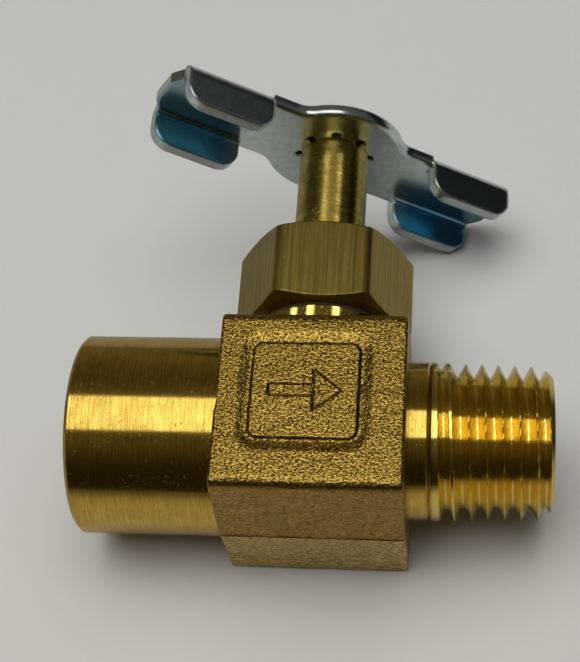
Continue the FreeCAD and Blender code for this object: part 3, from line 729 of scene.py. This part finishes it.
def drawn_brass():
    """Hexagon bar: lines drawn along the stem axis, small nicks and a dull olive film."""
    g = Material("drawn_brass", Metallic=1.0)
    lines = g.noise((0.06, 14.0, 0.06), 3.0, 0.7)
    streaks = g.noise((0.19, 16.0, 0.19), 2.0, 0.5)
    nicks = g.noise((0.25, 0.9, 0.25), 4.0, 0.75, turn=(0.3, 0.2, 0.5))
    film = g.noise((2.5, 4.0, 2.5), 3.0, 0.5)
    drawn = g.bump(g.plus(lines, g.times(streaks, 0.7)), 0.01, g.softened(0.22))
    normal = g.bump(g.spread(nicks, 0.62, 0.72), 0.02, drawn)
    colour = g.mix(g.spread(film, 0.3, 0.7), *BAR_FILM)
    colour = g.mix(g.spread(streaks, 0.40, 0.62, 0.0, 0.75), colour, BAR_STREAK)
    colour = g.mix(g.spread(nicks, 0.6, 0.68, 0.0, 0.55), colour, BAR_NICK)
    colour = g.mix(g.spread(lines, 0.35, 0.65, 0.0, 0.4), colour, BAR_LINE)
    rough = g.spread(lines, 0.3, 0.7, 0.28, 0.46)
    return g.finish(Base_Color=colour, Roughness=rough, Normal=normal)


PLAIN_ZINC = (0.88, 0.97, 0.95), (0.62, 0.73, 0.74)
# Blues painted inside the folded wings as reflected light, and the painted shade of their bends.
FLOOR_REFLECTED_BLUE = (0.24, 0.50, 0.60), (0.15, 0.44, 0.72)
WALL_REFLECTED_BLUE = (0.40, 0.76, 0.86), (0.24, 0.72, 1.00)
MOTTLE_BLUE = (0.12, 0.48, 0.75)
BEND_SHADE_BLUE = (0.10, 0.32, 0.50)
RIM_GREY = (0.42, 0.41, 0.38)

# Bands in the handle's own axes, in millimetres: X along the wings, Y up the stem and Z across the wings.
INSIDE_Z = (3.3, 3.5)
UNDER_Y = (30.3, 30.6)
FOLDED_X = (8.7, 10.8)
SIDES_X = (-3.0, 3.0)
LEFT_WING_X = (-13.5, -10.0)
RIGHT_WING_X = (11.0, 14.5)
WALL_Z = (2.9, 3.1)
BEND_Z = (2.6, 2.75)
BEND_Y = (29.8, 29.95)
RIM_Y = (FLANGE_RIM, FLANGE_RIM + 0.25)


def zinc_plate():
    """Bright zinc: cool grey, faintly mottled, with blue painted reflections inside the folded wings and
    painted shade in their bends.
    """
    g = Material("zinc_plate", Metallic=1.0)
    mottle = g.noise((0.8, 0.8, 0.8), 4.0, 0.6)
    speck = g.noise((0.16, 0.16, 0.16), 2.0, 0.6)
    plain = g.mix(g.spread(mottle, 0.3, 0.7), *PLAIN_ZINC)
    wing = g.add("ShaderNodeMapping", Vector=g.place, Location=HANDLE_SHIFT, Rotation=(0, -HANDLE_TURN, 0))
    local = g.add("ShaderNodeSeparateXYZ", Vector=wing.outputs[0]).outputs
    across = g.unsigned(local["Z"])
    # Painted reflection: inside the folded wings the zinc is painted blue, paler on the web's underside and
    # vivid on the walls and at the wing ends.
    inside = g.times(g.band(across, INSIDE_Z, 1.0, 0.0), g.band(local["Y"], UNDER_Y, 1.0, 0.0))
    tint = g.times(inside, g.band(g.unsigned(local["X"]), FOLDED_X))
    right = g.band(local["X"], SIDES_X)
    vivid_reflection = g.minus(g.band(local["X"], LEFT_WING_X), right)
    vivid_reflection = g.plus(vivid_reflection, g.band(local["X"], RIGHT_WING_X))
    blue = g.mix(g.band(across, WALL_Z), g.mix(right, *FLOOR_REFLECTED_BLUE), g.mix(vivid_reflection, *WALL_REFLECTED_BLUE))
    blue = g.mix(g.spread(mottle, 0.3, 0.7, 0.0, 0.3), blue, MOTTLE_BLUE)
    # Painted shade: the inner corner of each bend is painted dark blue.
    blue = g.mix(g.times(g.band(across, BEND_Z), g.band(local["Y"], BEND_Y)), blue, BEND_SHADE_BLUE)
    rim = g.band(local["Y"], RIM_Y, 0.75, 0.0)
    colour = g.mix(tint, plain, blue)
    colour = g.mix(g.times(rim, g.spread(speck, 0.35, 0.6, 0.5, 1.0)), colour, RIM_GREY)
    rough = g.plus(g.spread(speck, 0.3, 0.7, 0.15, 0.26), g.times(rim, 0.2))
    normal = g.bump(g.plus(mottle, g.times(speck, 0.3)), 0.012, g.softened(0.42))
    return g.finish(Base_Color=colour, Roughness=rough, Normal=normal)


def soft_seal(name, colour, rough, size):
    """Rubber, plastic or fibre with faint cells of that size."""
    g = Material(name)
    cells = g.noise((size, size, size), 4.0, 0.6)
    shade = g.mix(g.spread(cells, 0.3, 0.7), colour, tuple(0.75 * c for c in colour))
    return g.finish(Base_Color=shade, Roughness=rough, Normal=g.bump(cells, 0.01))


# Bands of the table, in millimetres along X and Y: its tint and its stretches of painted shade.
TINT_Y = (-30, 30)
FAR_TINT = (0.94, 0.985, 1.03)
SHADOW_FADE_Y = (-100, -30)
STEM_SIDE_Y = (0, 12)
OUTER_X = (-16, -13)
RIGHT_X = (0, 8)


def matt_paper(name, paint, shadow_fade=1.0, near=1.0, far=1.0):
    """Matt paper, cooler towards +Y and darkened by painted shadow towards -Y, as much as fade sets.

    On the stem's side of the pipe, near paints shade on the stretch by the block and far paints it on the
    one to its left.
    """
    g = Material(name, Specular_IOR_Level=0.2)
    cloud = g.noise((60.0, 60.0, 60.0), 3.0, 0.5)
    fleck = g.noise((0.5, 0.5, 0.5), 2.0, 0.5)
    colour = g.mix(cloud, tuple(0.96 * c for c in paint), paint)
    far_paint = tuple(c * f for c, f in zip(paint, FAR_TINT))
    colour = g.mix(g.band(g.axis("Y"), TINT_Y), colour, far_paint)
    # Painted shadow: the paper is darkened towards -Y.
    colour = g.mix(g.band(g.axis("Y"), SHADOW_FADE_Y, shadow_fade, 1.0), (0.0, 0.0, 0.0), colour)
    stem_side = g.band(g.axis("Y"), STEM_SIDE_Y)
    beside = g.times(g.band(g.axis("X"), OUTER_X), g.band(g.axis("X"), RIGHT_X, 1.0, 0.0))
    outer = g.band(g.axis("X"), OUTER_X, 1.0, 0.0)
    # Painted shade on the stretches beside the block and to its left on the stem's side.
    colour = g.mix(g.times(stem_side, beside), colour, (near, near, near), "MULTIPLY")
    colour = g.mix(g.times(stem_side, outer), colour, (far, far, far), "MULTIPLY")
    return g.finish(Base_Color=colour, Roughness=0.75, Normal=g.bump(fleck, 0.01))


# ---- the valve's pieces and looks -----------------------------------------------------------------------

forged = forged_brass()
pipe_turned = lathe_brass("pipe_turned_brass", "x", PIPE_BRASS, rough=0.17, depth=0.0022, marks=pipe_marks_and_shade)
neck_turned = lathe_brass("neck_turned_brass", "y", NECK_BRASS, rough=0.1, depth=0.001)
stem_turned = lathe_brass("stem_turned_brass", "y", STEM_BRASS, rough=0.26, depth=0.009)

body_pieces = [
    (make_forged_block(forged), "forged_brass"),
    (make_female_end(pipe_turned), "forged_brass"),
    (make_male_end(pipe_turned), "forged_brass"),
    (make_neck(neck_turned), "forged_brass"),
    (make_passage("high_passage", pipe_turned, HIGH_PASSAGE_ENDS, HIGH_PASSAGE_Y), "forged_brass"),
    (make_passage("low_passage", pipe_turned, LOW_PASSAGE_ENDS, LOW_PASSAGE_Y), "forged_brass"),
]
for piece, slot in body_pieces:
    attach(piece, "valve")
    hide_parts("valve_body")

backup_plastic = soft_seal("backup_plastic", (0.80, 0.79, 0.75), rough=0.45, size=0.3)
node_looks = {
    "bonnet": drawn_brass(),
    "stem": stem_turned,
    "tee_handle": zinc_plate(),
    "stem_o_ring": soft_seal("o_ring_rubber", (0.03, 0.03, 0.032), rough=0.5, size=0.2),
    "lower_backup_ring": backup_plastic,
    "upper_backup_ring": backup_plastic,
    "bonnet_gasket": soft_seal("gasket_fibre", (0.06, 0.04, 0.02), rough=0.95, size=0.25),
}
for node, look in node_looks.items():
    for index in range(len(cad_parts[node].data.materials)):
        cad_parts[node].data.materials[index] = look


# ---- table and backdrop, in metres ----------------------------------------------------------------------

TABLE_REACH = 1.6
TABLE_PAPER = (0.685, 0.665, 0.64)
SLOPE_FROM, LEVEL_FROM = -0.014, -0.045
CURVE_STEPS = 16
SLOPE_ROUNDS = 40
# Darker paper seen only in reflections: painted shade.
SHADED_MIRRORED_PAPER = (0.47, 0.45, 0.42)
MIRRORED_LIFT = 0.00002

WALL_RADIUS = 1.55
WALL_LOW, WALL_HIGH = -0.45, 1.3
WALL_SEGMENTS = 96
# The backdrop's glow: painted light, brighter at its foot.
WALL_FOOT_GLOW = (0.36, 0.35, 0.335)
WALL_TOP_GLOW = (0.20, 0.195, 0.19)
WALL_BASE = (0.02, 0.02, 0.02)


def rest_slope():
    """The table's fall towards +Y per metre and its height at y = 0, for a valve on body edge and wing."""
    body = np.array([v.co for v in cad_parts["valve_body"].data.vertices])
    wing = np.array([v.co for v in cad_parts["tee_handle"].data.vertices])
    slope = 0.0
    for _ in range(SLOPE_ROUNDS):
        lowest = body[np.argmin(body[:, 2] + slope * body[:, 1])]
        touch = wing[np.argmin(wing[:, 2] + slope * wing[:, 1])]
        slope = (lowest[2] - touch[2]) / (touch[1] - lowest[1])
    return slope, float(np.min(body[:, 2] + slope * body[:, 1]))


def make_table(name, material, lift=0.0):
    """A wide table that falls towards +Y under the valve and curves to the level in front of it."""
    slope, height = rest_slope()
    curve = np.linspace(LEVEL_FROM, SLOPE_FROM, CURVE_STEPS)
    ys = np.concatenate([[-TABLE_REACH], curve, [TABLE_REACH]])
    zs = height + lift - slope * ys
    for i in range(len(ys) - 3, -1, -1):
        middle = (ys[i] + ys[i + 1]) / 2
        share = float(smooth_step(LEVEL_FROM, SLOPE_FROM, middle))
        zs[i] = zs[i + 1] + slope * share * (ys[i + 1] - ys[i])
    points = [(x, y, z) for y, z in zip(ys, zs) for x in (-TABLE_REACH, TABLE_REACH)]
    faces = [(2 * i, 2 * i + 1, 2 * i + 3, 2 * i + 2) for i in range(len(ys) - 1)]
    table = link_mesh(name, points, faces, material)
    return table


def make_backdrop():
    """A round wall behind the table that glows pale with painted light, brighter at its foot than at its
    top.
    """
    angle = np.arange(WALL_SEGMENTS) * 2 * math.pi / WALL_SEGMENTS
    ring = np.stack([WALL_RADIUS * np.cos(angle), WALL_RADIUS * np.sin(angle)], -1)
    rings = [np.column_stack([ring, np.full(WALL_SEGMENTS, z)]) for z in (WALL_LOW, WALL_HIGH)]
    paper = Material("backdrop_glow", Roughness=1.0, Emission_Strength=1.0, Base_Color=WALL_BASE)
    # Painted light: the wall glows, brighter at its foot and dimmer towards its top.
    up = paper.spread(paper.axis("Z"), 0.0, WALL_HIGH)
    material = paper.finish(Emission_Color=paper.mix(up, WALL_FOOT_GLOW, WALL_TOP_GLOW))
    wall = link_mesh("backdrop", np.concatenate(rings), grid_faces(2, WALL_SEGMENTS), material)
    return wall


def only_seen_by(thing, *rays):
    """Hides a thing from all rays but those."""
    for ray in ("camera", "diffuse", "glossy", "transmission", "shadow"):
        setattr(thing, "visible_" + ray, ray in rays)


# The brass mirrors a copy of the table in darker paint, with painted shadow and shade on it, while the
# camera sees the one that catches the real shadows.
table = make_table("table", matt_paper("table_paper", TABLE_PAPER))
only_seen_by(table, "camera", "diffuse", "transmission", "shadow")
# Painted shade: the paper that the brass mirrors is darker, more so towards -Y and beside the block.
shaded_mirrored_paper = matt_paper("shaded_mirrored_paper", SHADED_MIRRORED_PAPER, shadow_fade=0.35, near=0.9, far=0.72)
mirrored_table = make_table("mirrored_table", shaded_mirrored_paper, MIRRORED_LIFT)
only_seen_by(mirrored_table, "glossy")
backdrop = make_backdrop()
only_seen_by(backdrop, "camera")


# ---- lights, in metres and watts ------------------------------------------------------------------------

STEM_LAMP_REACH = 0.7
STEM_LAMP_DEPTH = 0.12
STEM_LAMP_TARGET = (0.0, 0.015, 0.01)
STEM_LAMPS = (
    # name, direction from the valve, width, power
    ("stem_lamp_left", (-0.62, 0.53, 0.60), 0.10, 0.11),
    ("stem_lamp_middle", (-0.26, 0.54, 0.80), 0.13, 0.15),
    ("stem_lamp_right", (0.35, 0.54, 0.77), 0.12, 0.17),
)


def area_light(name, spot, target, size, power, colour=(1, 1, 1)):
    """A rectangular lamp at spot that faces target."""
    light = bpy.data.lights.new(name, "AREA")
    light.shape = "RECTANGLE"
    light.size, light.size_y = size
    light.energy = power
    light.color = colour
    lamp = bpy.data.objects.new(name, light)
    lamp.location = spot
    lamp.rotation_mode = "QUATERNION"
    lamp.rotation_quaternion = (Vector(target) - Vector(spot)).to_track_quat("-Z", "Y")
    bpy.context.scene.collection.objects.link(lamp)
    return lamp


area_light(
    "ceiling_panel",
    spot=(-0.05, 0.004, 0.62),
    target=(-0.05, 0.004, 0.0),
    size=(0.40, 0.43),
    power=0.92,
    colour=(1.0, 0.99, 0.98),
)
table_light = area_light(
    "table_light",
    spot=(-0.1, 0.15, 0.75),
    target=(0.0, 0.0, 0.0),
    size=(0.9, 0.7),
    power=4.2,
    colour=(1.0, 0.985, 0.96),
)
table_light.visible_glossy = False

lit_by_stem_lamps = bpy.data.collections.new("lit_by_stem_lamps")
for lit in (bpy.data.objects["bonnet_neck"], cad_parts["stem"]):
    lit_by_stem_lamps.objects.link(lit)
for name, direction, width, power in STEM_LAMPS:
    spot = tuple(STEM_LAMP_REACH * c for c in direction)
    lamp = area_light(name, spot, STEM_LAMP_TARGET, (width, STEM_LAMP_DEPTH), power)
    lamp.light_linking.receiver_collection = lit_by_stem_lamps


# ---- the room round the table ---------------------------------------------------------------------------

# Brightness against the direction's Y part, mapped from 0 for -Y to 1 for +Y.
ROOM_LEVELS = ((0.0, 0.014), (0.06, 0.018), (0.11, 0.03), (0.22, 0.075), (0.35, 0.09), (0.66, 0.10),
               (0.73, 0.085), (0.84, 0.06), (0.94, 0.085), (1.0, 0.13))
ROOM_TINT = (1.0, 0.86, 0.55)
RIGHT_TINT = (0.85, 1.05, 1.7)


def make_room():
    """A dim warm room that is cooler and, low down, darker on the right."""
    world = bpy.data.worlds.new("room")
    bpy.context.scene.world = world
    world.use_nodes = True
    sky = Nodes(world.node_tree)
    generated = sky.add("ShaderNodeTexCoord").outputs["Generated"]
    toward = sky.add("ShaderNodeSeparateXYZ", Vector=generated).outputs
    ramp = sky.add("ShaderNodeValToRGB")
    sky.feed(ramp.inputs[0], sky.spread(toward["Y"], -1.0, 1.0))
    stops = ramp.color_ramp.elements
    for index, (position, level) in enumerate(ROOM_LEVELS):
        stop = stops[index] if index < 2 else stops.new(position)
        stop.position = position
        stop.color = (*(level * c for c in ROOM_TINT), 1.0)
    cooler = sky.mix(sky.spread(toward["X"], 0.2, 0.6), ramp.outputs[0], RIGHT_TINT, "MULTIPLY")
    right_level = sky.spread(toward["Z"], 0.34, 0.5, 0.05, 0.8)
    level = sky.spread(toward["X"], 0.3, 0.6, 1.0, right_level)
    sky.set(sky.tree.nodes["Background"], {"Color": cooler, "Strength": level})


make_room()


# ---- camera ---------------------------------------------------------------------------------------------

CAMERA_PLACE = (0.012577, -0.053599, 0.128022)
CAMERA_PITCH, CAMERA_ROLL, CAMERA_HEADING = 0.4995, 0.0946, 0.0671
CAMERA_LENS = 80.47
CAMERA_SENSOR = 36.0
CAMERA_RANGE = (0.002, 5.0)

camera = bpy.data.cameras.new("camera")
camera.lens = CAMERA_LENS
camera.sensor_width = CAMERA_SENSOR
camera.clip_start, camera.clip_end = CAMERA_RANGE
holder = bpy.data.objects.new("camera", camera)
holder.location = CAMERA_PLACE
heading = Matrix.Rotation(CAMERA_HEADING, 3, "Z")
roll = Matrix.Rotation(CAMERA_ROLL, 3, "Y")
pitch = Matrix.Rotation(CAMERA_PITCH, 3, "X")
holder.rotation_euler = (heading @ roll @ pitch).to_euler()
bpy.context.scene.collection.objects.link(holder)
bpy.context.scene.camera = holder
bpy.context.scene.view_settings.view_transform = "Standard"
